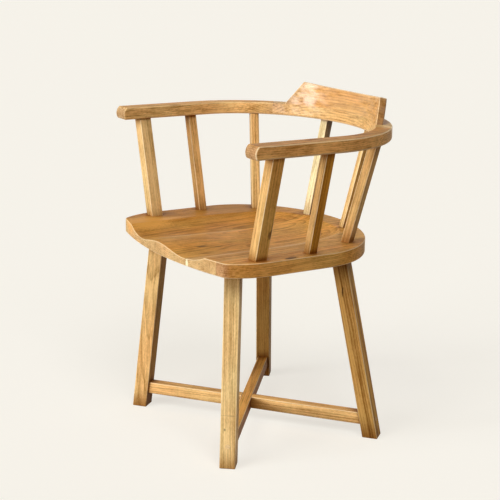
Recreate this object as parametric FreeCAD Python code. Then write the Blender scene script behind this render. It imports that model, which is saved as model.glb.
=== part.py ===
import FreeCAD, Part
import math
import os

# A low-backed wooden armchair: a saddled board seat on four splayed square legs,
# eight leaning uprights, a bow of two arms and a back rail, and a crest on top.
# Sizes in millimetres. X is across (plus is the sitter's left), Y runs back, Z is up.
# The chair is drawn with its seat level, then tipped back by seat_slope as it stands.

V = FreeCAD.Vector
UP = V(0, 0, 1)

# Whole chair
seat_height = 450.0
seat_slope = 1.0
tip_y = -150.0
fit_gap = 0.15
arris_round = 2.0

# Seat
seat_thick = 30.5
seat_half_width = 260.0
seat_front_y = -227.5
seat_bow = 31.0
seat_corner_y = -108.0
seat_corner_inset = 29.0
seat_corner_round = 22.0
seat_ease_inset = 7.0
seat_round_y = 38.0
seat_back_y = 240.0
first_board = 55.0
board_width = 91.0
board_count = 6

# Saddle carved in the seat
dish_side_rim = 90.0
dish_depth = 16.0
dish_widest_y = -60.0
dish_back_y = 190.0
dish_squareness = 3.0
dish_steepness = 5.0
dish_margin = 1.12
dish_rim_round = 1.5
pommel_rise = 13.5
pommel_half_width = 108.0
pommel_end_y = 60.0
dish_points_across = 33
dish_points_deep = 29

# Legs
leg_side = 34.0
leg_front_inset = 92.6
leg_front_y = -140.0
leg_rear_inset = 103.0
leg_rear_y = 133.5
front_splay_x = 37.5
front_splay_y = 29.0
rear_splay_x = 74.5
rear_splay_y = 52.0
leg_tenon_d = 24.0
leg_tenon_long = 20.0
foot_round = 2.0

# Crossed stretchers, half-lapped in the middle
stretcher_wide = 24.0
stretcher_high = 27.0
stretcher_top = 60.5
stub_wide = 12.0
stub_high = 17.0
stub_long = 8.0
screw_d = 5.0
screw_head_d = 9.0
screw_head_high = 3.5
screw_long = 62.0
plug_d = 10.0
plug_deep = 7.0

# Bow: two arms and the back rail in one layer
bow_under = 669.0
bow_thick = 27.5
bow_half_width = 312.5
bow_round_y = 26.0
bow_back_y = 291.0
arm_wide = 42.5
rail_wide = 45.0
inner_round_shift = 14.0
arm_front_y = -179.0
arm_joint_angle = 37.0
arm_end_round = 3.5
arm_dome_round = 20.0
arm_dome_high = 12.0
bow_top_round = 3.0
bow_under_round = 4.5
joint_dowel_d = 8.0
joint_dowel_long = 40.0
joint_dowel_spread = 14.0

# Crest standing on the back rail
crest_rise = 54.0
crest_thick = 16.0
crest_lean = 13.5
crest_foot_x = 181.5
crest_top_x = 149.0
crest_corner = 4.0
crest_dowel_d = 6.0
crest_dowel_long = 30.0
crest_dowel_places = (-120.0, -60.0, 60.0, 120.0)

# Uprights between seat and bow
post_side = 28.0
post_y = -121.0
post_inset = 30.0
spindle_side = 20.5
side_spindle_y = 4.0
side_spindle_inset = 25.5
corner_spindle_angle = 32.8
corner_spindle_inset = 34.5
corner_head_inset = 31.0
rear_foot_angle = 71.7
rear_head_angle = 72.8
rear_spindle_inset = 26.5
rear_head_inset = 23.5
head_side_inset = 22.0
post_tenon_d = 18.0
spindle_tenon_d = 14.0
upright_tenon_long = 18.0

# Values worked out from the sizes above
dish_half_width = seat_half_width - dish_side_rim
leg_front_x = seat_half_width - leg_front_inset
leg_rear_x = seat_half_width - leg_rear_inset
bow_inner_half_width = bow_half_width - arm_wide
bow_inner_round_y = bow_round_y + inner_round_shift
bow_inner_back_y = bow_back_y - rail_wide
seat_under = seat_height - seat_thick
seat_round_depth = seat_back_y - seat_round_y
bow_top = bow_under + bow_thick
crest_top = bow_top + crest_rise
stretcher_mid = stretcher_top - stretcher_high / 2
far = 2 * seat_height
lean_back = V(0, math.tan(math.radians(crest_lean)), 1)


def line(a, b):
    return Part.LineSegment(a, b).toShape()


def arc(a, mid, b):
    return Part.Arc(a, mid, b).toShape()


def prism(outline, level, travel):
    """A closed plan outline set at a level and carried along the travel vector."""
    face = Part.Face(Part.Wire(outline))
    face.translate(UP * level)
    return face.extrude(travel)


def level_slab(low, high):
    return Part.makeBox(2 * far, 2 * far, high - low, V(-far, -far, low))


def waste_beyond(point, normal):
    """Everything on the far side of a plane."""
    block = Part.makeBox(2 * far, 2 * far, far, V(-far, -far, 0))
    block.Placement = FreeCAD.Placement(point, FreeCAD.Rotation(UP, normal))
    return block


def back_curve(half_width, centre_y, depth):
    """The rear half of an ellipse, from plus X round the back to minus X."""
    side = V(half_width, centre_y, 0)
    whole = Part.Ellipse(side, V(0, centre_y + depth, 0), V(0, centre_y, 0))
    first = whole.parameter(side)
    return Part.ArcOfEllipse(whole, first, first + math.pi).toShape()


def edges_at(shape, level):
    """The edges that lie at one level."""
    found = []
    for edge in shape.Edges:
        box = edge.BoundBox
        if abs(box.ZMin - level) < fit_gap and abs(box.ZMax - level) < fit_gap:
            found.append(edge)
    return found


def middle_of(edge):
    return (edge.FirstParameter + edge.LastParameter) / 2


def upright_edges(shape):
    """The short edges that run from the bottom of a slab to its top."""
    return [e for e in shape.Edges if abs(e.tangentAt(middle_of(e)).z) > math.cos(math.radians(45))]


def along(a, b, turn):
    """A placement at a, Z towards b, X as near as can be to the level direction turn."""
    z = (b - a).normalize()
    x = V(-math.sin(turn), math.cos(turn), 0).cross(z).normalize()
    y = z.cross(x)
    return FreeCAD.Placement(FreeCAD.Matrix(
        x.x, y.x, z.x, a.x, x.y, y.y, z.y, a.y, x.z, y.z, z.z, a.z, 0, 0, 0, 1))


def square_bar(a, b, side, turn, spare):
    """A square bar round the line from a to b, longer by spare at both ends, its arrises rounded."""
    reach = (b - a).Length + 2 * spare
    bar = Part.makeBox(side, side, reach, V(-side / 2, -side / 2, -spare))
    bar = bar.makeFillet(arris_round, [e for e in bar.Edges if abs(e.Length - reach) < fit_gap])
    bar.Placement = along(a, b, turn)
    return bar


def rod(a, b, diameter, longer=0.0):
    """A round rod from a to b, longer at each end by a little where it cuts a hole."""
    run = (b - a).normalize()
    return Part.makeCylinder(diameter / 2, (b - a).Length + 2 * longer, a - run * longer, run)


def hole_for(a, b, diameter):
    return rod(a, b, diameter + 2 * fit_gap, 2 * fit_gap)


def on_line(a, b, level):
    """The point of the line from a to b at one level."""
    return a + (b - a) * ((level - a.z) / (b.z - a.z))


def seat_edge():
    """The seat's outline: bowed front, eased front corners, straight sides, elliptical back."""
    w = seat_half_width
    corner_x = w - seat_corner_inset
    corner_y = seat_front_y + seat_bow
    ease = V(w - seat_ease_inset, (corner_y + seat_corner_y) / 2, 0)
    flip = V(-ease.x, ease.y, 0)
    return [arc(V(-corner_x, corner_y, 0), V(0, seat_front_y, 0), V(corner_x, corner_y, 0)),
            arc(V(corner_x, corner_y, 0), ease, V(w, seat_corner_y, 0)),
            line(V(w, seat_corner_y, 0), V(w, seat_round_y, 0)),
            back_curve(w, seat_round_y, seat_round_depth),
            line(V(-w, seat_round_y, 0), V(-w, seat_corner_y, 0)),
            arc(V(-w, seat_corner_y, 0), flip, V(-corner_x, corner_y, 0))]


def dish_level(x, y):
    """Height of the carved surface: a squarish bowl, less a ridge that fades towards the back."""
    back = max(0.0, y - dish_widest_y) / (dish_back_y - dish_widest_y)
    side = abs(x) / dish_half_width
    spread = (side ** dish_squareness + back ** dish_squareness) ** (1 / dish_squareness)
    depth = dish_depth * (1 - spread ** dish_steepness)
    run = min(1.0, max(0.0, (pommel_end_y - y) / (pommel_end_y - seat_front_y)))
    fade = math.sin(math.pi / 2 * run) ** 2
    ridge = math.cos(math.pi / 2 * min(1.0, abs(x) / pommel_half_width)) ** 2
    return seat_height - depth + pommel_rise * ridge * fade


def dish_waste():
    """The wood carved away: all that stands above a smooth surface through dish_level."""
    half = dish_half_width * dish_margin
    start = seat_front_y - seat_thick / 3
    end = dish_back_y + seat_thick / 2
    rows = []
    for i in range(dish_points_across):
        x = half * (2 * i / (dish_points_across - 1) - 1)
        row = []
        for j in range(dish_points_deep):
            y = start + (end - start) * j / (dish_points_deep - 1)
            row.append(V(x, y, dish_level(x, y)))
        rows.append(row)
    surface = Part.BSplineSurface()
    surface.interpolate(rows)
    return surface.toShape().extrude(UP * seat_thick)


def leg_line(side, front):
    """Centre line of a leg, from its foot to the seat's underside; side is 1 or -1."""
    if front:
        top = V(side * leg_front_x, leg_front_y, seat_under)
        foot = V(side * (leg_front_x + front_splay_x), leg_front_y - front_splay_y, 0)
    else:
        top = V(side * leg_rear_x, leg_rear_y, seat_under)
        foot = V(side * (leg_rear_x + rear_splay_x), leg_rear_y + rear_splay_y, 0)
    return foot, top


def stretcher_ends(side):
    """Where the stretcher from the front leg of one side meets the two leg lines."""
    return [on_line(*leg_line(side, True), stretcher_mid), on_line(*leg_line(-side, False), stretcher_mid)]


def leg_turn(side, front):
    """Each leg stands square to the stretcher that it carries."""
    a, b = stretcher_ends(side if front else -side)
    return math.atan2((a - b).y, (a - b).x) if front else math.atan2((b - a).y, (b - a).x)


def leg_bar(side, front):
    foot, top = leg_line(side, front)
    return square_bar(foot, top, leg_side, leg_turn(side, front), leg_side)


def leg_tenon(side, front, cut):
    foot, top = leg_line(side, front)
    root = on_line(foot, top, seat_under - leg_tenon_long)
    tip = on_line(foot, top, seat_under + leg_tenon_long)
    return hole_for(root, tip, leg_tenon_d) if cut else rod(root, tip, leg_tenon_d)


def outward(side, front):
    """Level direction out through a leg, along its stretcher."""
    turn = leg_turn(side, front)
    return V(math.cos(turn), math.sin(turn), 0)


def face_point(side, front):
    """Where the stretcher's axis comes out of the leg's outer face."""
    foot, top = leg_line(side, front)
    out = outward(side, front)
    axis = (top - foot).normalize()
    across = V(0, 0, 1).cross(out)
    normal = across.cross(axis).normalize()
    return on_line(foot, top, stretcher_mid) + out * (leg_side / 2 / abs(normal.dot(out)))


def screw_hole(side, front):
    """A plug pocket, a seat for the screw's head and a hole for its shank."""
    face = face_point(side, front)
    inward = outward(side, front) * -1
    head = face + inward * plug_deep
    pocket = hole_for(face - inward * plug_deep, head, plug_d)
    seat = hole_for(head, head + inward * screw_head_high, screw_head_d)
    shank = hole_for(head, head + inward * screw_long, screw_d)
    return pocket.fuse([seat, shank])


def screw(side, front):
    """A flat-headed screw: a coned head on a pointed shank."""
    face = face_point(side, front)
    inward = outward(side, front) * -1
    head = face + inward * plug_deep
    neck = head + inward * screw_head_high
    tip = head + inward * (screw_long - screw_d)
    cone = Part.makeCone(screw_head_d / 2, screw_d / 2, screw_head_high, head, inward)
    point = Part.makeCone(screw_d / 2, screw_d / 8, screw_d, tip, inward)
    return cone.fuse([rod(neck, tip, screw_d), point]).removeSplitter()


def plug(side, front):
    """A wooden plug over the screw's head, trimmed to the leg's outer face."""
    face = face_point(side, front)
    out = outward(side, front)
    blank = rod(face - out * (plug_deep - fit_gap), face + out * plug_deep, plug_d)
    return blank.common(leg_bar(side, front))


def stub_tenon(side, front, gap):
    """The short tongue on a stretcher's end, let into the leg's inner face."""
    out = outward(side, front)
    centre = on_line(*leg_line(side, front), stretcher_mid)
    wide = stub_wide + 2 * gap
    high = stub_high + 2 * gap
    start = leg_side / 2 - stub_long - gap
    tongue = Part.makeBox(wide, high, leg_side, V(-wide / 2, -high / 2, start))
    across = out.cross(UP)
    tongue.Placement = FreeCAD.Placement(FreeCAD.Matrix(
        across.x, 0, -out.x, centre.x, across.y, 0, -out.y, centre.y, 0, 1, 0, centre.z, 0, 0, 0, 1))
    return tongue


def make_leg(side, front):
    """A square leg with a round tenon, morticed for its stretcher and bored for the screw."""
    leg = leg_bar(side, front).common(level_slab(-far, seat_under))
    leg = leg.fuse(leg_tenon(side, front, False)).removeSplitter()
    return leg.cut([stub_tenon(side, front, fit_gap), screw_hole(side, front)])


def stretcher_bar(side, gap):
    """The straight bar between two legs' centre lines."""
    a, b = stretcher_ends(side)
    run = (b - a).normalize()
    across = UP.cross(run)
    wide = stretcher_wide + 2 * gap
    bar = Part.makeBox((b - a).Length, wide, stretcher_high, V(0, -wide / 2, -stretcher_high / 2))
    if not gap:
        bar = bar.makeFillet(arris_round, [e for e in bar.Edges if abs(e.Length - (b - a).Length) < fit_gap])
    bar.Placement = FreeCAD.Placement(FreeCAD.Matrix(
        run.x, across.x, 0, a.x, run.y, across.y, 0, a.y, 0, 0, 1, a.z, 0, 0, 0, 1))
    return bar


def make_stretcher(side):
    """A stretcher, notched to half its height where the other one crosses it."""
    bar = stretcher_bar(side, 0)
    if side > 0:
        notch = level_slab(-far, stretcher_mid)
    else:
        notch = level_slab(stretcher_mid, far)
    bar = bar.cut(stretcher_bar(-side, fit_gap).common(notch))
    for turned, front in ((side, True), (-side, False)):
        tongue = stub_tenon(turned, front, 0).common(stretcher_bar(side, fit_gap))
        bar = bar.cut(leg_bar(turned, front)).fuse(tongue)
        bar = bar.cut(screw_hole(turned, front))
    return bar.removeSplitter()


def bow_curve_point(angle, back_inset):
    """A point on a curve inset from the bow's outer edge, at an angle round its back."""
    turn = math.radians(angle)
    x = (bow_half_width - head_side_inset) * math.cos(turn)
    y = bow_round_y + (bow_back_y - bow_round_y - back_inset) * math.sin(turn)
    return V(x, y, bow_under)


def seat_curve_point(angle, inset):
    """A point on a curve inset from the seat's edge, at an angle round its back."""
    turn = math.radians(angle)
    x = (seat_half_width - inset) * math.cos(turn)
    y = seat_round_y + (seat_round_depth - inset) * math.sin(turn)
    return V(x, y, seat_height)


def upright_lines():
    """Name, foot, head, side and tenon size of each upright of the sitter's left half."""
    head_x = bow_half_width - head_side_inset
    corner_foot = seat_curve_point(corner_spindle_angle, corner_spindle_inset)
    corner_head = bow_curve_point(corner_spindle_angle, corner_head_inset)
    rear_foot = seat_curve_point(rear_foot_angle, rear_spindle_inset)
    rear_head = bow_curve_point(rear_head_angle, rear_head_inset)
    post_foot = V(seat_half_width - post_inset, post_y, seat_height)
    side_foot = V(seat_half_width - side_spindle_inset, side_spindle_y, seat_height)
    return [("arm_post", post_foot, V(head_x, post_y, bow_under), post_side, post_tenon_d),
            ("spindle_side", side_foot, V(head_x, side_spindle_y, bow_under), spindle_side, spindle_tenon_d),
            ("spindle_corner", corner_foot, corner_head, spindle_side, spindle_tenon_d),
            ("spindle_rear", rear_foot, rear_head, spindle_side, spindle_tenon_d)]


def tenon_axis(foot, head):
    """From the tip of the lower tenon to the tip of the upper one."""
    return (on_line(foot, head, seat_height - upright_tenon_long),
            on_line(foot, head, bow_under + upright_tenon_long))


def make_upright(foot, head, side, tenon):
    """A square upright turned to the way it leans, with a round tenon at each end."""
    turn = math.atan2((head - foot).y, (head - foot).x)
    bar = square_bar(foot, head, side, turn, side).common(level_slab(seat_height, bow_under))
    low, high = tenon_axis(foot, head)
    ends = rod(low, high, tenon).common(level_slab(seat_height - far, bow_under + far))
    return bar.fuse(ends).removeSplitter()


def mirrored(point, side):
    return V(side * point.x, point.y, point.z)


def upright_holes():
    holes = []
    for name, foot, head, bar_side, tenon in upright_lines():
        for side in (1, -1):
            low, high = tenon_axis(mirrored(foot, side), mirrored(head, side))
            holes.append(hole_for(low, high, tenon))
    return holes


def make_seat():
    """The whole seat before it is parted along its glue lines."""
    blank = prism(seat_edge(), seat_under, UP * seat_thick)
    corners = [e for e in upright_edges(blank) if e.BoundBox.YMax < seat_corner_y - seat_corner_round]
    blank = blank.makeFillet(seat_corner_round, corners)
    rims = edges_at(blank, seat_under) + edges_at(blank, seat_height)
    blank = blank.makeFillet(arris_round, rims).cut(dish_waste())
    front_rim = [e for e in blank.Edges if e.BoundBox.YMax < seat_front_y + seat_bow
                 and e.BoundBox.ZMin > seat_under + arris_round and e.Length > dish_half_width]
    blank = blank.makeFillet(dish_rim_round, front_rim)
    cuts = upright_holes()
    for side in (1, -1):
        for front in (True, False):
            cuts.append(leg_tenon(side, front, True))
    for cut in cuts:
        blank = blank.cut(cut)
    return blank


def seat_boards(seat):
    """The seat's boards, from the sitter's left to the right."""
    boards = []
    left_edge = seat_half_width + seat_thick
    right_edge = seat_half_width - first_board
    for number in range(board_count):
        if number == board_count - 1:
            right_edge = -seat_half_width - seat_thick
        strip = Part.makeBox(left_edge - right_edge, 2 * far, far, V(right_edge, -far, 0))
        boards.append(seat.common(strip))
        left_edge = right_edge
        right_edge = left_edge - board_width
    return boards


def bow_outline(half_width, front_y, centre_y, back_y):
    """A U in plan: straight sides from a front line, joined by half an ellipse."""
    return [line(V(-half_width, front_y, 0), V(half_width, front_y, 0)),
            line(V(half_width, front_y, 0), V(half_width, centre_y, 0)),
            back_curve(half_width, centre_y, back_y - centre_y),
            line(V(-half_width, centre_y, 0), V(-half_width, front_y, 0))]


def inner_space(grow, front_y, top):
    """The space inside the bow, leaning back as it rises; grow moves its face into the wood."""
    outline = bow_outline(bow_inner_half_width + grow, front_y, bow_inner_round_y, bow_inner_back_y + grow)
    return prism(outline, bow_under, lean_back * (top - bow_under))


def inner_face_y(x):
    """How far back the bow's inner edge lies at its underside."""
    depth = bow_inner_back_y - bow_inner_round_y
    return bow_inner_round_y + depth * math.sqrt(1 - (x / bow_inner_half_width) ** 2)


def joint_plane(side):
    """A point and direction of the glued seam between an arm and the back rail."""
    turn = math.radians(arm_joint_angle)
    centre = V(0, bow_round_y, 0)
    spoke = V(side * math.cos(turn), math.sin(turn), 0)
    return centre, spoke, V(-side * math.sin(turn), math.cos(turn), 0)


def joint_dowel_axes(side):
    """Two level dowels through each seam, side by side."""
    centre, spoke, across = joint_plane(side)
    edge = 1 / math.hypot(spoke.x / bow_half_width, spoke.y / (bow_back_y - bow_round_y))
    middle = edge - (arm_wide + rail_wide) / 4
    axes = []
    for shift in (-joint_dowel_spread / 2, joint_dowel_spread / 2):
        mid = centre + spoke * (middle + shift) + UP * (bow_under + bow_thick / 2)
        axes.append((mid - across * (joint_dowel_long / 2), mid + across * (joint_dowel_long / 2)))
    return axes


def crest_dowel_axes():
    """Dowels that lean with the crest, half in it and half in the rail."""
    axes = []
    half = lean_back * (crest_dowel_long / 2 / lean_back.Length)
    for x in crest_dowel_places:
        mid = V(x, inner_face_y(x) + crest_thick / 2, bow_under) + lean_back * bow_thick
        axes.append((mid - half, mid + half))
    return axes


def behind_arm_ends():
    """The space behind the arms' domed front ends."""
    nose = V(-far, arm_front_y, bow_under + arm_dome_high)
    top = nose + V(0, arm_dome_round, arm_dome_round)
    low = nose + V(0, arm_dome_round, -arm_dome_round)
    back = V(0, far, 0)
    outline = [arc(top, nose, low), line(low, low + back), line(low + back, top + back), line(top + back, top)]
    return Part.Face(Part.Wire(outline)).extrude(V(2 * far, 0, 0))


def make_bow():
    """Arms and rail as one piece, their front ends domed and their corners rounded."""
    outline = bow_outline(bow_half_width, arm_front_y - arm_dome_round, bow_round_y, bow_back_y)
    outer = prism(outline, bow_under, UP * bow_thick)
    bow = outer.cut(inner_space(0, -far, bow_top + bow_thick)).common(behind_arm_ends())
    ends = [e for e in upright_edges(bow) if e.BoundBox.YMax < arm_front_y + bow_thick]
    return bow.makeFillet(arm_end_round, ends)


def make_arm(bow, side):
    """One arm, from its front end to the seam."""
    centre, spoke, across = joint_plane(side)
    near = Part.makeBox(far, 2 * far, far, V(0 if side > 0 else -far, -far, 0))
    arm = bow.common(near).cut(waste_beyond(centre, across))
    seam = waste_beyond(centre - across * fit_gap, across)
    rims = [(bow_top_round, bow_top), (bow_under_round, bow_under)]
    for size, level in rims:
        edges = [e for e in edges_at(arm, level) if not seam.isInside(e.valueAt(middle_of(e)), fit_gap / 2, True)]
        arm = arm.makeFillet(size, edges)
    return drilled(arm)


def make_rail(bow):
    """The curved back rail between the two seams."""
    rail = bow
    for side in (1, -1):
        centre, spoke, across = joint_plane(side)
        rail = rail.cut(waste_beyond(centre, across * -1))
    keep = [e for e in rail.Edges if e.BoundBox.XLength > bow_half_width and abs(e.BoundBox.ZLength) < fit_gap]
    outer_top = [e for e in keep if e.BoundBox.ZMin > bow_top - fit_gap and e.BoundBox.YMax > bow_back_y - fit_gap]
    under = [e for e in keep if e.BoundBox.ZMax < bow_under + fit_gap]
    rail = rail.makeFillet(bow_top_round, outer_top)
    rail = rail.makeFillet(bow_under_round, under)
    return drilled(rail)


def drilled(piece):
    """The piece with every upright's and dowel's hole that falls in it."""
    for side in (1, -1):
        for a, b in joint_dowel_axes(side):
            piece = piece.cut(hole_for(a, b, joint_dowel_d))
    for a, b in crest_dowel_axes():
        piece = piece.cut(hole_for(a, b, crest_dowel_d))
    for hole in upright_holes():
        piece = piece.cut(hole)
    return piece


def crest_top_corner(side):
    """The top inner corner at one end of the crest."""
    return V(side * crest_top_x, inner_face_y(crest_top_x), bow_under) + lean_back * (crest_top - bow_under)


def crest_end(side):
    """A point and the outward direction of the crest's end face."""
    foot = V(side * crest_foot_x, inner_face_y(crest_foot_x), bow_under) + lean_back * bow_thick
    depth = bow_inner_back_y - bow_inner_round_y
    spoke = V(foot.x / bow_inner_half_width ** 2, (inner_face_y(crest_foot_x) - bow_inner_round_y) / depth ** 2, 0)
    return foot, spoke.cross(crest_top_corner(side) - foot) * side


def make_crest():
    """The leaning crest, flush with the rail's inner face, its top cut square to the lean."""
    high = crest_top + crest_thick
    crest = inner_space(crest_thick, 0, high).cut(inner_space(0, -far, high + crest_thick))
    crest = crest.common(level_slab(bow_top, far))
    crest = crest.cut(waste_beyond(crest_top_corner(1), lean_back))
    for side in (1, -1):
        crest = crest.cut(waste_beyond(*crest_end(side)))
    corners = []
    for edge in crest.Edges:
        if edge.BoundBox.ZMin > crest_top - crest_thick and edge.Length < 2 * crest_thick:
            corners.append(edge)
    crest = crest.makeFillet(crest_corner, corners)
    rim = []
    for edge in crest.Edges:
        rising = abs(edge.tangentAt(middle_of(edge)).z) > crest_corner / crest_thick
        if edge.BoundBox.ZMax > bow_top + crest_corner and (rising or edge.Length > 2 * crest_thick):
            rim.append(edge)
    crest = crest.makeFillet(arris_round, rim)
    for a, b in crest_dowel_axes():
        crest = crest.cut(hole_for(a, b, crest_dowel_d))
    return crest


def stand(shape):
    """Tips a drawn piece back with the seat."""
    tipped = shape.copy()
    tipped.rotate(V(0, tip_y, seat_height), V(1, 0, 0), -seat_slope)
    return tipped


def cut_foot(leg):
    """The leg's sole, cut level with the floor and eased."""
    leg = leg.common(level_slab(0, far))
    return leg.makeFillet(foot_round, edges_at(leg, 0))


def make_chair():
    """Every piece of the chair by name, tipped back and standing on the floor."""
    pieces = {}
    for number, board in enumerate(seat_boards(make_seat())):
        pieces["seat_board_%d" % (number + 1)] = stand(board)
    bow = make_bow()
    pieces["back_rail"] = stand(make_rail(bow))
    pieces["crest_rail"] = stand(make_crest())
    corners = [(side, front) for side in (1, -1) for front in (True, False)]
    for side, hand in ((1, "left"), (-1, "right")):
        pieces["leg_front_" + hand] = cut_foot(stand(make_leg(side, True)))
        pieces["leg_rear_" + hand] = cut_foot(stand(make_leg(side, False)))
        pieces["arm_" + hand] = stand(make_arm(bow, side))
        for name, foot, head, width, tenon in upright_lines():
            upright = make_upright(mirrored(foot, side), mirrored(head, side), width, tenon)
            pieces[name + "_" + hand] = stand(upright)
    pieces["stretcher_upper"] = stand(make_stretcher(1))
    pieces["stretcher_lower"] = stand(make_stretcher(-1))
    pieces["stretcher_screws"] = stand(Part.Compound([screw(*corner) for corner in corners]))
    pieces["screw_plugs"] = stand(Part.Compound([plug(*corner) for corner in corners]))
    joint_axes = joint_dowel_axes(1) + joint_dowel_axes(-1)
    pieces["arm_joint_dowels"] = stand(Part.Compound([rod(a, b, joint_dowel_d) for a, b in joint_axes]))
    pieces["crest_dowels"] = stand(Part.Compound([rod(a, b, crest_dowel_d) for a, b in crest_dowel_axes()]))
    return pieces


def export(pieces):
    """Writes each piece, with the chair's box centred front to back."""
    os.makedirs("parts", exist_ok=True)
    box = Part.Compound(list(pieces.values())).optimalBoundingBox()
    for name, shape in pieces.items():
        shape.translate(V(0, -(box.YMin + box.YMax) / 2, 0))
        shape.exportStep("parts/" + name + ".step")


export(make_chair())
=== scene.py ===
import math

import bpy
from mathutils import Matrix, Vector


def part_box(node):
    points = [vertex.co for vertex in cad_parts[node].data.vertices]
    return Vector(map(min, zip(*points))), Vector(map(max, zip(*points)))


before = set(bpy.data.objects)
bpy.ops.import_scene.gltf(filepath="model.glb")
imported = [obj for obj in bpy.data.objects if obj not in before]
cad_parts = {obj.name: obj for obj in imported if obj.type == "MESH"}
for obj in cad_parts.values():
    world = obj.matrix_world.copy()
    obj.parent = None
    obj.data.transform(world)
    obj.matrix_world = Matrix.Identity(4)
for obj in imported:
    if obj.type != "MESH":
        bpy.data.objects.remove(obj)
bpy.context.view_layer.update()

# The photograph's camera, in degrees and metres, round a point near the chair's middle. The lens and the
# film behind it are in millimetres.
CAMERA_AZIMUTH = 59.077
CAMERA_ELEVATION = 14.877
CAMERA_DISTANCE = 2.8267
LOOK_AT = Vector((-0.00068, -0.03418, 0.40026))
LENS = 91.168
FILM_WIDTH = 36.0

# The pale paper round the chair. The floor's own colour carries the shadow and its glow lifts it to PALE.
# The chair gets only a warm bounce from it.
PALE = (0.922, 0.888, 0.815, 1.0)
FLOOR = (0.36, 0.36, 0.35, 1.0)
FLOOR_GLOW = (0.688, 0.662, 0.609, 1.0)
WARM_BOUNCE = (0.30, 0.22, 0.14, 1.0)
FLOOR_RADIUS = 60.0
FLOOR_SIDES = 96

# The colours of the lamps.
WHITE_LIGHT = (1.0, 1.0, 1.0)
IVORY_LIGHT = (1.0, 0.98, 0.94)
WARM_LIGHT = (1.0, 0.96, 0.84)

# Shades of the oiled timber, from the palest to the deepest.
BLOND = (0.80, 0.70, 0.40)
CREAM = (0.84, 0.58, 0.26)
STRAW = (0.85, 0.54, 0.22)
HONEY = (0.76, 0.465, 0.18)
GOLD = (0.74, 0.40, 0.135)
AMBER = (0.70, 0.355, 0.09)
TOFFEE = (0.72, 0.35, 0.073)
RUSSET = (0.61, 0.285, 0.055)
BROWN = (0.51, 0.285, 0.08)
UMBER = (0.41, 0.215, 0.055)

# Shades of end grain.
BOARD_END = (0.69, 0.44, 0.20)
PLAIN_END = (0.60, 0.38, 0.19)
DEEP_END = (0.53, 0.31, 0.145)
DARK_END = (0.22, 0.11, 0.04)

# What early and late wood make of a shade, in red, green and blue.
EARLY_WOOD = (1.18, 1.22, 1.32)
LATE_WOOD = (0.50, 0.39, 0.25)

# Tints of the timber's warmer and cooler areas, and colours of small things in it and on it.
WARM_AREA = (1.03, 0.96, 0.90, 1.0)
COOL_AREA = (0.97, 1.02, 1.0, 1.0)
SAPWOOD = (0.82, 0.53, 0.25, 1.0)
GLUE_LINE = (0.16, 0.08, 0.03, 1.0)
# A painted highlight for the arrises.
PAINTED_ARRIS_HIGHLIGHT = (1.0, 0.82, 0.52, 1.0)
KNOT = (0.06, 0.026, 0.008, 1.0)
BARK = (0.20, 0.095, 0.03, 1.0)
# Painted light for the seat.
PAINTED_LIGHT = (0.94, 0.47, 0.11, 1.0)
# Painted shade for the seat.
PAINTED_SHADE = (0.38, 0.165, 0.03, 1.0)
FILLER = (1.0, 0.90, 0.60, 1.0)
# Painted shade for the corners where pieces meet.
CORNER_SHADE_TINT = (0.42, 0.30, 0.18, 1.0)
OIL_SHEEN = (1.0, 0.85, 0.60, 1.0)

# Colours of the screws' zinc: at its dullest and its brightest, and on the worn edges.
ZINC_DULL = (0.44, 0.43, 0.40, 1.0)
ZINC_BRIGHT = (0.68, 0.67, 0.64, 1.0)
ZINC_WORN = (0.82, 0.81, 0.78, 1.0)

# How often each figure of the timber comes in a metre: twice across the grain, then along it.
SWAY = (9.0, 9.0, 3.2)
UNEVEN_YEARS = (48.0, 48.0, 7.0)
STREAKS = (110.0, 110.0, 2.2)
FIBRES = (300.0, 300.0, 9.0)
CLOUDS = (28.0, 28.0, 20.0)
SPECKS = (420.0, 420.0, 160.0)
PORES = (1300.0, 1300.0, 60.0)
RAY_FLECKS = (260.0, 260.0, 22.0)
WARM_AREAS = (16.0, 16.0, 6.0)

# How often each pattern on the chair comes in a metre: from side to side, from front to back, and upwards.
STRIPE_SWAY = (30.0, 11.0, 30.0)
STRIPE_PATCHES = (20.0, 9.0, 20.0)
ARRIS_HIGHLIGHT_PATCHES = (45.0, 45.0, 45.0)
POLISH_PATCHES = (22.0, 60.0, 60.0)
RAGGED_RIMS = (260.0, 260.0, 260.0)
SCREW_SCRATCHES = (900.0, 900.0, 120.0)

# How far a pith line wanders, how deep the grain is felt and how far painted shade reaches from a corner, in
# metres.
PITH_WANDER = 0.012
GRAIN_RELIEF = 0.0006
CORNER_SHADE_REACH = 0.08

# A glue line, in metres from its middle: where its dark part ends and where it has faded out.
GLUE_MIDDLE = 0.0003
GLUE_EDGE = 0.0012

# A stripe of sapwood, in metres: how far its far side wanders, how soft its near side is, and the length
# over which it fades out towards the back.
STRIPE_WANDER = 0.006
STRIPE_EDGE = 0.0004
STRIPE_FADE = 0.1

# The shine of timber that is only oiled and of timber that is polished too, and how blurred the polish is.
OILED_SHINE = 0.1
POLISHED_SHINE = 0.25
POLISH_BLUR = 0.28

# The directions that some faces look in. The chair's left is along X and its back along Y.
UP = (0.0, 0.0, 1.0)
LEFT = (1.0, 0.0, 0.0)
FRONT = (0.0, -1.0, 0.0)
LEFT_AND_BACK = (0.77, 0.63, 0.0)
SEAT_CORNER = (0.8, -0.6, 0.0)
ARM_INSIDE = (0.5, -0.87, 0.0)
CREST_RISE = (0.0, 0.245, 0.97)
CREST_END = (0.63, -0.43, 0.65)
STRETCHER_SIDE = (0.63, 0.78, 0.0)

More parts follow.
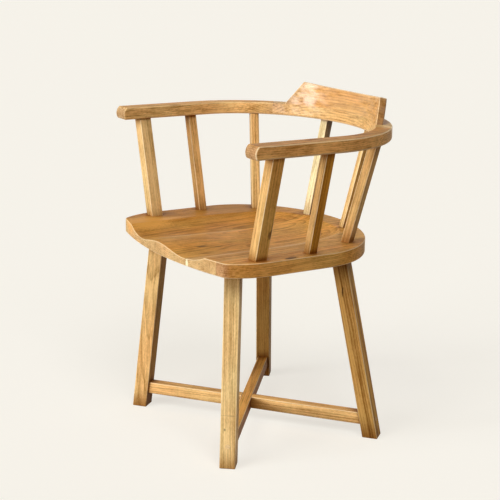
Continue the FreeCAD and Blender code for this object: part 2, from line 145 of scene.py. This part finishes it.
# Which way the grain runs in the legs, the stretchers and the uprights. Where a left and a right piece share a
# run, this is the left one's.
LEG_FRONT_LEFT = (-37.5, 29.0, 419.5)
LEG_FRONT_RIGHT = (37.5, 10.0, 419.5)
LEG_REAR = (-74.5, -52.0, 419.5)
STRETCHER_UPPER = (424.0, -345.0, 0.0)
STRETCHER_LOWER = (424.0, 345.0, 0.0)
POST = (60.5, 0.0, 219.0)
SIDE_SPINDLE = (56.0, 0.0, 219.0)
CORNER_SPINDLE = (54.7, 25.1, 219.0)
REAR_SPINDLE = (12.0, 52.3, 219.0)

# The glue line along the right edge of a seat board: its darkness, the width of the stripe of sapwood
# beside it, and how far back the stripe runs.
SEAT_SEAMS = {
    "seat_board_1": (0.35, 0.004, 0.05),
    "seat_board_2": (0.45, 0.013, 0.16),
    "seat_board_3": (0.20, 0.0, 0.0),
    "seat_board_4": (0.45, 0.015, 0.03),
    "seat_board_5": (0.35, 0.0, 0.0),
}

# Where painted highlights lie on the arrises: the direction that a face looks in and the two slants to it
# that the arris turns between. Some have two places along the chair's depth too, and fade in from the
# first to the second.
SEAT_EDGES = ((UP, 0.12, 0.86),)
ARM_EDGES = ((UP, 0.15, 0.95, -0.185, -0.170), (LEFT, 0.2, 0.97, -0.160, -0.170))
RAIL_EDGES = ((UP, 0.3, 0.95),)
CREST_EDGES = ((CREST_RISE, 0.05, 0.48), (CREST_RISE, 0.56, 0.96))
BAR_SLANTS = (0.14, 0.98)
SCREW_SLANTS = (0.15, 0.9)

# Marks in the timber and patches of painted light and shade: the place, the reach each way from it,
# the strength and the colour.
RIM_KNOT = ((0.2530, -0.0885, 0.4483), (0.0060, 0.021, 0.006), 1.0, KNOT)
FRONT_EDGE_KNOT = ((0.1534, -0.2478, 0.435), (0.0025, 0.004, 0.0025), 0.7, KNOT)
FILLED_WEDGE = ((0.1125, -0.2545, 0.4275), (0.0058, 0.012, 0.015), 1.0, FILLER)
HOLLOW_DARK = ((0.0495, -0.184, 0.440), (0.0045, 0.018, 0.008), 0.85, KNOT)
HOLLOW_FAINT = ((0.060, -0.150, 0.439), (0.004, 0.014, 0.008), 0.6, KNOT)
# A pool of painted light on the seat's left front slope.
PAINTED_LIGHT_PATCH = ((-0.178, -0.200, 0.450), (0.060, 0.085, 0.04), 0.7, PAINTED_LIGHT)
# A patch of painted shade on the seat's left rear, under the far arm.
PAINTED_SHADE_PATCH = ((-0.205, 0.030, 0.447), (0.080, 0.130, 0.04), 0.6, PAINTED_SHADE)
# A painted shadow on the seat at the foot of the far post.
POST_FOOT_SHADOW = ((-0.218, -0.128, 0.449), (0.032, 0.040, 0.03), 0.8, PAINTED_SHADE)
LEG_NICK = ((0.2059, -0.220, 0.0837), (0.003, 0.003, 0.004), 0.6, KNOT)
LEG_SCRATCH = ((0.2087, -0.2106, 0.1141), (0.03, 0.03, 0.0009), 0.35, KNOT)
LEG_STREAK = ((0.1797, 0.0927, 0.3294), (0.0025, 0.0025, 0.016), 0.85, KNOT)
POST_BARK = ((0.2605, -0.1425, 0.5050), (0.012, 0.0080, 0.014), 0.85, BARK)
POST_BARK_TIP = ((0.2625, -0.1395, 0.5180), (0.010, 0.0055, 0.026), 0.7, BARK)
RAIL_KNOT = ((-0.2025, 0.1522, 0.6859), (0.003, 0.003, 0.003), 0.6, KNOT)


def connect(tree, node, inputs):
    """Each input of a node set to a value or to what another node puts out."""
    for key, value in inputs.items():
        if isinstance(value, bpy.types.NodeSocket):
            tree.links.new(value, node.inputs[key])
        else:
            node.inputs[key].default_value = value


def put(tree, kind, inputs=(), **settings):
    """One node with its own settings and inputs."""
    node = tree.nodes.new(kind)
    for name, value in settings.items():
        setattr(node, name, value)
    connect(tree, node, dict(inputs))
    return node


def calc(tree, operation, first, second=0.0, third=0.0):
    """A sum on up to three values."""
    return put(tree, "ShaderNodeMath", {0: first, 1: second, 2: third}, operation=operation).outputs[0]


def times(tree, first, second):
    """One value times another."""
    return calc(tree, "MULTIPLY", first, second)


def plus(tree, base, pattern, strength):
    """A base value plus a pattern times its strength."""
    return calc(tree, "MULTIPLY_ADD", pattern, strength, base)


def less(tree, value):
    """What a value leaves of one."""
    return calc(tree, "SUBTRACT", 1.0, value)


def spread(tree, pattern, low, high):
    """A pattern between zero and one, stretched to lie between low and high."""
    return plus(tree, low, pattern, high - low)


def clamped(tree, value):
    """The value kept between zero and one."""
    return put(tree, "ShaderNodeClamp", {"Value": value}).outputs[0]


def rise(tree, value, low, high):
    """Zero up to low, one from high on and a smooth S between, turned round where low is the greater."""
    return put(tree, "ShaderNodeMapRange", {"Value": value, "From Min": low, "From Max": high},
               interpolation_type="SMOOTHSTEP").outputs["Result"]


def vector(tree, operation, first, second, third=(0.0, 0.0, 0.0)):
    """A sum on up to three vectors, axis by axis."""
    inputs = {0: first, 1: second, 2: third}
    return put(tree, "ShaderNodeVectorMath", inputs, operation=operation).outputs["Vector"]


def length(tree, arrow):
    """How long a vector is."""
    return put(tree, "ShaderNodeVectorMath", {0: arrow}, operation="LENGTH").outputs["Value"]


def facing(tree, axis):
    """How squarely the surface looks along an axis: one along it, zero across it, minus one against it."""
    inputs = {0: put(tree, "ShaderNodeNewGeometry").outputs["Normal"], 1: axis}
    return put(tree, "ShaderNodeVectorMath", inputs, operation="DOT_PRODUCT").outputs["Value"]


def on_chair(tree):
    """The place of a point on the chair, in metres."""
    return put(tree, "ShaderNodeTexCoord").outputs["Object"]


def noise(tree, point, often, detail=2.0, rough=0.5, output="Fac"):
    """A smooth random pattern round one half, which comes so often in a metre along each axis."""
    inputs = {"Vector": vector(tree, "MULTIPLY", point, often), "Scale": 1.0, "Detail": detail,
              "Roughness": rough}
    return put(tree, "ShaderNodeTexNoise", inputs).outputs[output]


def mixed(tree, share, first, second, way="MIX"):
    """Two colours mixed, with the share for the second."""
    return put(tree, "ShaderNodeMix", {0: share, 6: first, 7: second}, data_type="RGBA", blend_type=way,
               clamp_factor=True).outputs[2]


def stain_and_shade_tint(tree, share, colour, tint):
    """A colour multiplied by a tint, as far as the share says."""
    return mixed(tree, share, colour, tint, "MULTIPLY")


def group(name, inputs, outputs):
    """An empty shared group with named sockets, what it is given and what it puts out."""
    tree = bpy.data.node_groups.new(name, "ShaderNodeTree")
    kinds = {"vector": "NodeSocketVector", "colour": "NodeSocketColor", "value": "NodeSocketFloat"}
    for sockets, way in ((inputs, "INPUT"), (outputs, "OUTPUT")):
        for label, kind in sockets.items():
            tree.interface.new_socket(label, in_out=way, socket_type=kinds[kind])
    return tree, tree.nodes.new("NodeGroupInput").outputs, tree.nodes.new("NodeGroupOutput")


def use(tree, shared, inputs):
    """What a shared group puts out in a material that gives it its own values."""
    return put(tree, "ShaderNodeGroup", inputs, node_tree=shared).outputs


def timber_group():
    """Solid timber round a pith line along Z, which wanders a little.

    The year is the distance from the pith times the rings in a metre, made uneven. The late wood grows
    with the cube of how far the year has gone, and fades out as the year ends. The depth of the colour is a
    base plus the late wood, streaks, fibres, clouds, specks, pores and ray flecks, each times its strength,
    and it mixes the light wood with the dark. Broad areas are then tinted a little warmer or cooler. The
    height is the fibres less the late wood and pores. The roughness is a base plus the fibres and pores.
    """
    tree, given, out = group(
        "timber",
        {"Point": "vector", "Light": "colour", "Dark": "colour", "Rings": "value", "Ring depth": "value",
         "Streaks": "value", "Fibres": "value", "Mottle": "value"},
        {"Colour": "colour", "Height": "value", "Roughness": "value"})
    base_depth = 0.24
    base_roughness = 0.42
    point = given["Point"]
    sway = vector(tree, "SUBTRACT", noise(tree, point, SWAY, output="Color"), (0.5, 0.5, 0.5))
    bent = vector(tree, "MULTIPLY_ADD", sway, (PITH_WANDER, PITH_WANDER, PITH_WANDER), point)

    radius = length(tree, vector(tree, "MULTIPLY", bent, (1.0, 1.0, 0.0)))
    year = plus(tree, noise(tree, point, UNEVEN_YEARS, detail=3.0), radius, given["Rings"])
    gone = calc(tree, "FRACT", year)
    late = times(tree, calc(tree, "POWER", gone, 3.0), less(tree, rise(tree, gone, low=0.88, high=1.0)))

    streaks = noise(tree, bent, STREAKS, detail=3.0, rough=0.55)
    fibres = noise(tree, bent, FIBRES, detail=3.0, rough=0.6)
    clouds = noise(tree, point, CLOUDS, detail=4.0, rough=0.6)
    specks = noise(tree, point, SPECKS, rough=0.6)
    pores = rise(tree, noise(tree, bent, PORES, detail=1.0), low=0.60, high=0.70)
    flecks = rise(tree, noise(tree, bent, RAY_FLECKS), low=0.62, high=0.74)
    warmth = rise(tree, noise(tree, point, WARM_AREAS, detail=3.0), low=0.3, high=0.7)

    speck_strength = times(tree, given["Fibres"], 0.5)
    fleck_strength = times(tree, given["Fibres"], 0.08)
    figures = ((streaks, given["Streaks"]), (fibres, given["Fibres"]), (clouds, given["Mottle"]),
               (specks, speck_strength))
    depth = plus(tree, base_depth, late, given["Ring depth"])
    for figure, strength in figures:
        depth = plus(tree, depth, calc(tree, "SUBTRACT", figure, 0.5), strength)
    depth = plus(tree, depth, pores, strength=0.10)
    depth = plus(tree, depth, flecks, fleck_strength)
    colour = mixed(tree, clamped(tree, depth), given["Light"], given["Dark"])
    height = plus(tree, fibres, late, strength=-0.35)
    roughness = plus(tree, base_roughness, pores, strength=0.15)
    connect(tree, out, {
        "Colour": stain_and_shade_tint(tree, 1.0, colour, mixed(tree, warmth, WARM_AREA, COOL_AREA)),
        "Height": plus(tree, height, pores, strength=-0.6),
        "Roughness": plus(tree, roughness, fibres, strength=0.22)})
    return tree


def between_faces_group():
    """One where the surface turns from one face of a piece to the next, and zero on the faces.

    The slant is how squarely the surface looks along an axis or against it. The mask rises just above the
    low slant and falls just below the high one.
    """
    tree, given, out = group(
        "between faces", {"Axis": "vector", "Low": "value", "High": "value"}, {"Arris": "value"})
    fade = 0.1
    slant = calc(tree, "ABSOLUTE", facing(tree, given["Axis"]))
    leaves = rise(tree, slant, given["Low"], calc(tree, "ADD", given["Low"], fade))
    arrives = rise(tree, slant, calc(tree, "SUBTRACT", given["High"], fade), given["High"])
    connect(tree, out, {"Arris": times(tree, leaves, less(tree, arrives))})
    return tree


def corner_shade_group():
    """One deep in the corners where pieces meet, for painted shade there, and zero in the open.

    It rises with the share of the room round a point that other surfaces shut off within its reach.
    """
    tree, given, out = group("corner shade", {"Reach": "value"}, {"Shade": "value"})
    room = put(tree, "ShaderNodeAmbientOcclusion", {"Distance": given["Reach"]}, samples=8).outputs["AO"]
    connect(tree, out, {"Shade": rise(tree, less(tree, room), low=0.08, high=0.5)})
    return tree


def one_side_group():
    """One on the side of a piece that looks along an axis, and zero on its other sides."""
    tree, given, out = group("one side", {"Axis": "vector"}, {"Side": "value"})
    connect(tree, out, {"Side": rise(tree, facing(tree, given["Axis"]), low=0.8, high=0.95)})
    return tree


def mark_group():
    """One inside an uneven egg round a place on a piece, fading to zero at its rim: a knot, streak or nick,
    or a patch of painted light or shade.

    The distance from the place is counted in reaches along each axis, and some noise makes the rim ragged.
    """
    tree, given, out = group(
        "mark", {"Point": "vector", "Place": "vector", "Reach": "vector"}, {"Mask": "value"})
    away = vector(tree, "SUBTRACT", given["Point"], given["Place"])
    far = length(tree, vector(tree, "DIVIDE", away, given["Reach"]))
    ragged = spread(tree, noise(tree, given["Point"], RAGGED_RIMS), low=-0.35, high=0.35)
    connect(tree, out, {"Mask": less(tree, rise(tree, calc(tree, "ADD", far, ragged), low=0.35, high=1.0))})
    return tree


TIMBER = timber_group()
BETWEEN_FACES = between_faces_group()
CORNER_SHADE = corner_shade_group()
ONE_SIDE = one_side_group()
MARK = mark_group()


def middle(name):
    """The middle of a piece's box."""
    low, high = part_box(name)
    return (Vector(low) + Vector(high)) / 2


def along_grain(tree, grain, pith):
    """The place on the chair, turned so that Z runs along the grain, from a point of the pith line."""
    spin = Vector(grain).normalized().rotation_difference(Vector(UP)).to_matrix()
    turned = {"Vector": on_chair(tree), "Rotation": spin.to_euler(), "Location": spin @ -pith}
    return put(tree, "ShaderNodeMapping", turned, vector_type="POINT").outputs[0]


def end_grain(tree, grain):
    """One where the surface cuts across the fibres, and zero where it runs along them."""
    cut = calc(tree, "ABSOLUTE", facing(tree, Vector(grain).normalized()))
    return rise(tree, cut, low=0.35, high=0.9)


def wood_colour(kind, shade, tone=1.0):
    """The colour of early or late wood: each part of a shade times that wood's share of it and the tone."""
    return (*(tone * share * part for share, part in zip(kind, shade)), 1.0)


def seams(tree, colour, on_face):
    """The glue lines between the seat's boards.

    Each is a thin dark line over a board's right edge. Beside some runs a stripe of sapwood. Its far side
    wanders and fades from half its width on, its strength is uneven, and it ends towards the back and over
    end grain.
    """
    point = on_chair(tree)
    across, along, _ = put(tree, "ShaderNodeSeparateXYZ", {0: point}).outputs
    wander = spread(tree, noise(tree, point, STRIPE_SWAY), -STRIPE_WANDER, STRIPE_WANDER)
    uneven = spread(tree, noise(tree, point, STRIPE_PATCHES), low=0.15, high=0.95)
    for board, (darkness, stripe_width, stripe_back) in SEAT_SEAMS.items():
        right_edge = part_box(board)[0][0]
        past = calc(tree, "SUBTRACT", across, right_edge)
        if stripe_width:
            near_side = rise(tree, past, -STRIPE_EDGE, STRIPE_EDGE)
            far_side = rise(tree, calc(tree, "ADD", past, wander), 0.5 * stripe_width, 1.3 * stripe_width)
            behind = rise(tree, along, stripe_back - STRIPE_FADE, stripe_back)
            stripe = times(tree, times(tree, near_side, less(tree, far_side)), less(tree, behind))
            colour = mixed(tree, times(tree, stripe, times(tree, on_face, uneven)), colour, SAPWOOD)
        line = less(tree, rise(tree, calc(tree, "ABSOLUTE", past), GLUE_MIDDLE, GLUE_EDGE))
        colour = mixed(tree, times(tree, line, darkness), colour, GLUE_LINE)
    return colour


def bar_edges(name):
    """The arrises of a straight bar, from the direction that its largest triangle looks in."""
    widest = max(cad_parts[name].data.polygons, key=lambda triangle: triangle.area)
    return ((tuple(widest.normal), *BAR_SLANTS),)


def arrises(tree, edges):
    """The painted highlights on the arrises of a piece: every turn between two of its faces, brighter in some
    patches.
    """
    point = on_chair(tree)
    along = put(tree, "ShaderNodeSeparateXYZ", {0: point}).outputs[1]
    worn_and_highlit = 0.0
    for axis, low, high, *fade_in in edges:
        turn = use(tree, BETWEEN_FACES, {"Axis": axis, "Low": low, "High": high})["Arris"]
        if fade_in:
            turn = times(tree, turn, rise(tree, along, *fade_in))
        worn_and_highlit = calc(tree, "MAXIMUM", worn_and_highlit, turn)
    patches = spread(tree, noise(tree, point, ARRIS_HIGHLIGHT_PATCHES), low=0.6, high=1.4)
    return clamped(tree, times(tree, worn_and_highlit, patches))


def polish(tree, coat):
    """Patches of rubbed-in polish, on every side of a piece but its top, times the strength of the coat."""
    patches = noise(tree, on_chair(tree), POLISH_PATCHES, detail=3.0, rough=0.6)
    not_on_top = less(tree, use(tree, ONE_SIDE, {"Axis": UP})["Side"])
    return times(tree, times(tree, not_on_top, rise(tree, patches, low=0.30, high=0.62)), coat)


def new_finish(name):
    """A new finish, its nodes and its shader."""
    material = bpy.data.materials.new(name)
    material.use_nodes = True
    return material, material.node_tree, material.node_tree.nodes["Principled BSDF"]


def wood(name, grain, pith, shade, end=PLAIN_END, edges=(), rings=190.0, ring_depth=0.55, streaks=1.5,
         fibres=1.7, mottle=0.8, tone=1.0, glue_lines=False, painted_side_shading=(), marks=(), arris_highlight=0.6, coat=0.0):
    """Oiled timber for one piece, cut from its own place in the log.

    The early and late wood of its faces give way to those of its ends where the surface cuts across the
    fibres. Then come the seat's glue lines, painted light and shade on single sides, marks and painted
    patches of light and shade, painted highlights on the arrises and painted shade in the corners.
    """
    material, tree, shader = new_finish(name + " timber")
    across = end_grain(tree, grain)
    timber = use(tree, TIMBER, {
        "Point": along_grain(tree, grain, middle(name) + Vector(pith)),
        "Light": mixed(tree, across, wood_colour(EARLY_WOOD, shade, tone), wood_colour(EARLY_WOOD, end)),
        "Dark": mixed(tree, across, wood_colour(LATE_WOOD, shade, tone), wood_colour(LATE_WOOD, end)),
        "Rings": rings, "Ring depth": ring_depth, "Streaks": streaks, "Fibres": fibres, "Mottle": mottle})
    colour = timber["Colour"]
    if glue_lines:
        colour = seams(tree, colour, less(tree, across))
    # Painted light and shade on single sides of a piece, lighter or darker by each side's tint.
    for axis, kept in painted_side_shading:
        colour = stain_and_shade_tint(tree, use(tree, ONE_SIDE, {"Axis": axis})["Side"], colour, (*kept, 1.0))
    for place, reach, strength, tint in marks:
        mask = use(tree, MARK, {"Point": on_chair(tree), "Place": place, "Reach": reach})["Mask"]
        colour = mixed(tree, times(tree, mask, strength), colour, tint)
    # Painted highlights along the arrises, mixed towards a pale colour.
    colour = mixed(tree, times(tree, arrises(tree, edges or bar_edges(name)), arris_highlight), colour, PAINTED_ARRIS_HIGHLIGHT)
    # Painted shade: the colour is darkened in the corners where pieces meet.
    colour = stain_and_shade_tint(tree, use(tree, CORNER_SHADE, {"Reach": CORNER_SHADE_REACH})["Shade"], colour, CORNER_SHADE_TINT)
    relief = {"Height": timber["Height"], "Strength": 0.25, "Distance": GRAIN_RELIEF}
    connect(tree, shader, {
        "Base Color": colour, "Roughness": timber["Roughness"],
        "Normal": put(tree, "ShaderNodeBump", relief).outputs[0],
        "Specular IOR Level": POLISHED_SHINE if coat else OILED_SHINE, "Specular Tint": OIL_SHEEN,
        "Coat Roughness": POLISH_BLUR})
    if coat:
        connect(tree, shader, {"Coat Weight": polish(tree, coat)})
    return material


def steel(name):
    """Bright zinc-plated screw steel: fine scratches mix its two greys, and worn edges are paler."""
    material, tree, shader = new_finish(name)
    low, high = SCREW_SLANTS
    scratches = noise(tree, on_chair(tree), SCREW_SCRATCHES, detail=3.0)
    worn_and_highlit = use(tree, BETWEEN_FACES, {"Axis": UP, "Low": low, "High": high})["Arris"]
    connect(tree, shader, {
        "Base Color": mixed(tree, worn_and_highlit, mixed(tree, scratches, ZINC_DULL, ZINC_BRIGHT), ZINC_WORN),
        "Roughness": spread(tree, scratches, low=0.2, high=0.5), "Metallic": 1.0})
    return material


def dress(name, material):
    """A piece given its only material."""
    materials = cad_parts[name].data.materials
    materials.clear()
    materials.append(material)


def mirrored(run):
    """The same run of the grain on the chair's right side."""
    return (-run[0], run[1], run[2])


# What the seat's boards share, unless one says otherwise.
BOARD = {"end": BOARD_END, "edges": SEAT_EDGES, "glue_lines": True, "rings": 280.0, "streaks": 1.1,
         "mottle": 1.2}

# The timber of each piece: the run of its grain, where the pith lies from its middle in metres, the shades
# of its faces and of its ends, and what sets it apart. Rings are counted in a metre, the other figures are
# strengths, and the tone is the brightness. A side with painted light and shade has the direction that it
# looks in and what it keeps of red, green and blue.
PIECES = {
    "seat_board_1": dict(
        BOARD, grain=(0, 1, 0), pith=(0.02, 0, -0.10), shade=AMBER, end=DEEP_END, marks=(RIM_KNOT,),
        painted_side_shading=((LEFT, (1.06, 1.12, 1.2)), (SEAT_CORNER, (0.78, 0.68, 0.58)),
               (LEFT_AND_BACK, (0.92, 0.86, 0.68)))),
    "seat_board_2": dict(
        BOARD, grain=(0.01, 1, 0), pith=(-0.03, 0, -0.13), shade=AMBER, rings=250.0, tone=0.93,
        marks=(FILLED_WEDGE, FRONT_EDGE_KNOT)),
    "seat_board_3": dict(
        BOARD, grain=(-0.01, 1, 0.01), pith=(0.01, 0, -0.09), shade=TOFFEE, ring_depth=0.68, streaks=1.0,
        fibres=1.4, mottle=1.1, marks=(HOLLOW_DARK, HOLLOW_FAINT, FILLED_WEDGE)),
    "seat_board_4": dict(
        BOARD, grain=(0.02, 1, 0.02), pith=(-0.02, 0, -0.08), shade=TOFFEE, rings=300.0, ring_depth=0.68,
        streaks=1.0, fibres=1.4, mottle=1.1),
    "seat_board_5": dict(
        BOARD, grain=(0, 1, 0.01), pith=(0.03, 0, -0.12), shade=RUSSET, rings=260.0, ring_depth=0.7,
        fibres=1.4, marks=(PAINTED_LIGHT_PATCH, PAINTED_SHADE_PATCH)),
    "seat_board_6": dict(
        BOARD, grain=(0.01, 1, 0), pith=(-0.02, 0, -0.10), shade=RUSSET, tone=0.96,
        marks=(PAINTED_LIGHT_PATCH, PAINTED_SHADE_PATCH, POST_FOOT_SHADOW)),
    "leg_front_left": dict(
        grain=LEG_FRONT_LEFT, pith=(0.10, 0.12, 0), shade=CREAM, rings=210.0, streaks=1.2, tone=0.95,
        marks=(LEG_NICK, LEG_SCRATCH)),
    "leg_front_right": dict(
        grain=LEG_FRONT_RIGHT, pith=(-0.03, 0.05, 0), shade=STRAW, rings=240.0, ring_depth=0.65,
        streaks=0.9, tone=0.98, painted_side_shading=((LEFT_AND_BACK, (0.64, 0.58, 0.30)),)),
    "leg_rear_left": dict(
        grain=LEG_REAR, pith=(0.12, 0.15, 0), shade=BROWN, rings=170.0, ring_depth=0.9, streaks=2.2,
        painted_side_shading=((LEFT_AND_BACK, (1.10, 1.02, 0.62)),), marks=(LEG_STREAK,)),
    "leg_rear_right": dict(grain=mirrored(LEG_REAR), pith=(0.10, 0.12, 0), shade=UMBER, tone=1.06),
    "stretcher_upper": dict(
        grain=STRETCHER_UPPER, pith=(0.02, 0, -0.10), shade=TOFFEE, mottle=1.1, tone=1.04,
        painted_side_shading=((STRETCHER_SIDE, (0.5, 0.4, 0.2)),)),
    "stretcher_lower": dict(
        grain=STRETCHER_LOWER, pith=(0, 0.02, 0.12), shade=STRAW, tone=1.04,
        painted_side_shading=((UP, (1.0, 0.92, 0.76)),)),
    "screw_plugs": dict(grain=(0.7, 0.7, 0), pith=(0, 0, 0.03), shade=HONEY, rings=600.0),
    "arm_post_left": dict(
        grain=POST, pith=(0.10, 0.16, 0), shade=HONEY, streaks=1.1, mottle=1.0, tone=1.03,
        painted_side_shading=((LEFT, (0.95, 0.83, 0.56)),), marks=(POST_BARK, POST_BARK_TIP)),
    "arm_post_right": dict(grain=mirrored(POST), pith=(0.14, 0.10, 0), shade=CREAM),
    "spindle_side_left": dict(
        grain=SIDE_SPINDLE, pith=(-0.12, 0.12, 0), shade=HONEY, tone=1.03,
        painted_side_shading=((LEFT, (0.73, 0.53, 0.17)),)),
    "spindle_side_right": dict(
        grain=mirrored(SIDE_SPINDLE), pith=(0.12, -0.12, 0), shade=HONEY, tone=1.1,
        painted_side_shading=((FRONT, (0.78, 0.73, 0.69)),)),
    "spindle_corner_left": dict(grain=CORNER_SPINDLE, pith=(0.06, 0.08, 0), shade=HONEY, tone=0.93),
    "spindle_corner_right": dict(grain=mirrored(CORNER_SPINDLE), pith=(0.16, 0.10, 0), shade=STRAW),
    "spindle_rear_left": dict(
        grain=REAR_SPINDLE, pith=(0.14, 0.05, 0), shade=CREAM, painted_side_shading=((LEFT, (0.76, 0.64, 0.46)),)),
    "spindle_rear_right": dict(
        grain=mirrored(REAR_SPINDLE), pith=(0.12, 0.08, 0), shade=BLOND, coat=0.7,
        painted_side_shading=((LEFT, (0.35, 0.25, 0.15)),)),
    "arm_left": dict(
        grain=(0.12, -1, 0), pith=(0.02, 0, -0.14), shade=GOLD, end=DEEP_END, edges=ARM_EDGES, rings=240.0,
        mottle=1.5, tone=1.05, painted_side_shading=((UP, (0.68, 0.59, 0.46)),)),
    "arm_right": dict(
        grain=(-0.12, -1, 0), pith=(-0.04, 0, -0.12), shade=STRAW, edges=ARM_EDGES, rings=240.0, tone=1.09,
        arris_highlight=0.25, painted_side_shading=((UP, (0.80, 0.66, 0.52)), (ARM_INSIDE, (0.76, 0.67, 0.55)))),
    "back_rail": dict(
        grain=(1, 0.03, 0), pith=(0, 0.04, -0.11), shade=HONEY, edges=RAIL_EDGES, tone=0.9, coat=0.5,
        marks=(RAIL_KNOT,)),
    "crest_rail": dict(
        grain=(1, 0, 0.01), pith=(0, 0.03, 0.16), shade=GOLD, end=DARK_END, edges=CREST_EDGES, rings=150.0,
        fibres=1.1, mottle=0.7, tone=0.88, coat=0.95, painted_side_shading=((CREST_END, (0.70, 0.62, 0.44)),)),
    "arm_joint_dowels": dict(grain=(0.6, 0.8, 0), pith=(0.02, 0.01, 0), shade=STRAW, rings=500.0),
    "crest_dowels": dict(grain=(0, 0.24, 1), pith=(0.02, 0.01, 0), shade=STRAW, rings=500.0),
}

for piece, cut in PIECES.items():
    dress(piece, wood(piece, **cut))
dress("stretcher_screws", steel("screw steel"))


def seen_directly(tree):
    """One for what the camera sees, straight or by way of glossy and clear surfaces."""
    path = put(tree, "ShaderNodeLightPath").outputs
    glossy_or_clear = calc(tree, "MAXIMUM", path["Is Glossy Ray"], path["Is Transmission Ray"])
    return calc(tree, "MAXIMUM", path["Is Camera Ray"], glossy_or_clear)


def floor():
    """A flat round of pale paper far wider than the view: points on a circle, at equal turns."""
    turns = [2.0 * math.pi * place / FLOOR_SIDES for place in range(FLOOR_SIDES)]
    rim = [(FLOOR_RADIUS * math.cos(turn), FLOOR_RADIUS * math.sin(turn), 0.0) for turn in turns]
    mesh = bpy.data.meshes.new("floor")
    mesh.from_pydata(rim, [], [range(FLOOR_SIDES)])
    disc = bpy.data.objects.new("floor", mesh)
    bpy.context.scene.collection.objects.link(disc)
    material, tree, shader = new_finish("floor paper")
    seen = seen_directly(tree)
    connect(tree, shader, {
        "Base Color": mixed(tree, seen, WARM_BOUNCE, FLOOR), "Roughness": 1.0, "Specular IOR Level": 0.0,
        "Emission Color": FLOOR_GLOW, "Emission Strength": seen})
    mesh.materials.append(material)


def backdrop(level):
    """A pale world round the chair, which the eye sees whole and which lights the chair at a low level."""
    world = bpy.data.worlds.new("studio")
    bpy.context.scene.world = world
    world.use_nodes = True
    tree = world.node_tree
    tree.nodes.clear()
    strength = put(tree, "ShaderNodeMix", {0: seen_directly(tree), 2: level, 3: 1.0}, data_type="FLOAT")
    paper = put(tree, "ShaderNodeBackground", {"Color": PALE, "Strength": strength.outputs[0]})
    put(tree, "ShaderNodeOutputWorld", {"Surface": paper.outputs[0]})


def towards(azimuth, elevation):
    """The direction away from the chair at an azimuth, from its front to its left, and an elevation."""
    turn, lift = math.radians(azimuth), math.radians(elevation)
    return Vector((math.sin(turn) * math.cos(lift), -math.cos(turn) * math.cos(lift), math.sin(lift)))


def stand(name, lamp_or_eye, away):
    """A lamp or a camera that looks back at the chair from a direction."""
    body = bpy.data.objects.new(name, lamp_or_eye)
    body.rotation_euler = away.to_track_quat("Z", "Y").to_euler()
    bpy.context.scene.collection.objects.link(body)
    return body


def sun(name, azimuth, elevation, strength, softness, colour=WHITE_LIGHT):
    """A lamp so far away that its light is parallel, as soft as the angle that it fills, in degrees."""
    lamp = bpy.data.lights.new(name, "SUN")
    lamp.energy = strength
    lamp.angle = math.radians(softness)
    lamp.color = colour
    stand(name, lamp, towards(azimuth, elevation))


def camera():
    """The photograph's camera."""
    eye = bpy.data.cameras.new("camera")
    eye.lens = LENS
    eye.sensor_width = FILM_WIDTH
    away = towards(CAMERA_AZIMUTH, CAMERA_ELEVATION)
    body = stand("camera", eye, away)
    body.location = LOOK_AT + away * CAMERA_DISTANCE
    bpy.context.scene.camera = body


floor()
backdrop(level=0.05)
sun("low front", azimuth=-13, elevation=10, strength=1.4, softness=17)
sun("front", azimuth=6, elevation=8, strength=1.45, softness=30)
sun("key", azimuth=10, elevation=45, strength=0.78, softness=30, colour=WARM_LIGHT)
sun("left side", azimuth=80, elevation=46, strength=1.05, softness=30, colour=IVORY_LIGHT)
sun("back fill", azimuth=215, elevation=10, strength=0.5, softness=60)
camera()
bpy.context.scene.view_settings.view_transform = "Standard"
